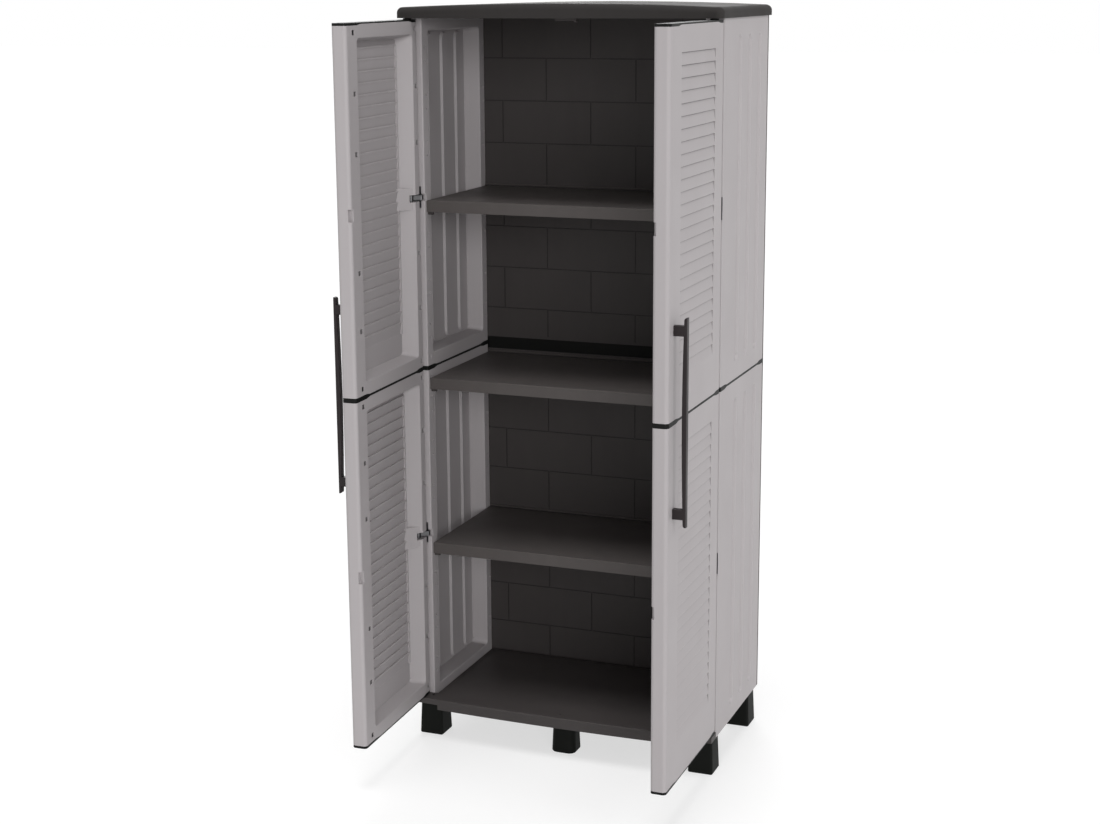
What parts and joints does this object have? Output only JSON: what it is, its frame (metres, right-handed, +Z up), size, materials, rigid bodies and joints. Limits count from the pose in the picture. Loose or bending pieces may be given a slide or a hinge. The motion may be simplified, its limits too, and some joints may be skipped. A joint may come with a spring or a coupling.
{
  "type": "garden storage cabinet",
  "caption": "Tall free-standing plastic storage cabinet with louvred double doors, shelves, a crowned lid and feet, for gardens and balconies.",
  "frame": {"origin": "on the ground, under the middle of the carcass's front opening, which is within a few millimetres of the middle of the whole at rest", "axes": "+X to the right seen from the front, +Y from the front to the back, +Z up"},
  "size_m": [0.7439, 0.6891, 1.624],
  "materials": {
    "panel_plastic": "warm grey polypropylene, fine moulded texture",
    "frame_plastic": "anthracite polypropylene, fine moulded texture",
    "handle_plastic": "dark satin plastic",
    "foot_plastic": "near-black plastic",
    "peg_plastic": "anthracite plastic",
    "joiner_plastic": "near-black plastic strips and end caps",
    "steel": "zinc-plated steel pins, screws and brackets"
  },
  "bodies": {
    "cabinet": {"back_joiner": "joiner_plastic", "back_lower": "frame_plastic", "back_upper": "frame_plastic", "door_stop": "frame_plastic", "floor_tray": "frame_plastic", "front_left_foot": "foot_plastic", "front_middle_foot": "foot_plastic", "front_right_foot": "foot_plastic", "hinge_screws": "steel", "left_hinge_bracket_lower": "steel", "left_hinge_bracket_upper": "steel", "left_side_joiner": "joiner_plastic", "left_side_lower": "panel_plastic", "left_side_upper": "panel_plastic", "lid": "frame_plastic", "lower_shelf": "frame_plastic", "middle_shelf": "frame_plastic", "rear_left_foot": "foot_plastic", "rear_middle_foot": "foot_plastic", "rear_right_foot": "foot_plastic", "right_hinge_bracket_lower": "steel", "right_hinge_bracket_upper": "steel", "right_side_joiner": "joiner_plastic", "right_side_lower": "panel_plastic", "right_side_upper": "panel_plastic", "shelf_pegs": "peg_plastic", "upper_shelf": "frame_plastic"},
    "left_door": {"left_door_bottom_cap": "joiner_plastic", "left_door_handle": "handle_plastic", "left_door_joiner": "joiner_plastic", "left_door_lower": "panel_plastic", "left_door_top_cap": "joiner_plastic", "left_door_upper": "panel_plastic", "left_hinge_pins": "steel"},
    "right_door": {"right_door_bottom_cap": "joiner_plastic", "right_door_handle": "handle_plastic", "right_door_joiner": "joiner_plastic", "right_door_lower": "panel_plastic", "right_door_top_cap": "joiner_plastic", "right_door_upper": "panel_plastic", "right_hinge_pins": "steel"}
  },
  "joints": [
    {"name": "left_door_hinge", "type": "hinge", "parent": "cabinet", "child": "left_door", "pos_m": [-0.33375, -0.01925, 0.8455], "axis": [0, 0, -1], "range_deg": [-88, 22]},
    {"name": "right_door_hinge", "type": "hinge", "parent": "cabinet", "child": "right_door", "pos_m": [0.33375, -0.01925, 0.8455], "axis": [0, 0, 1], "range_deg": [-90, 20]}
  ]
}
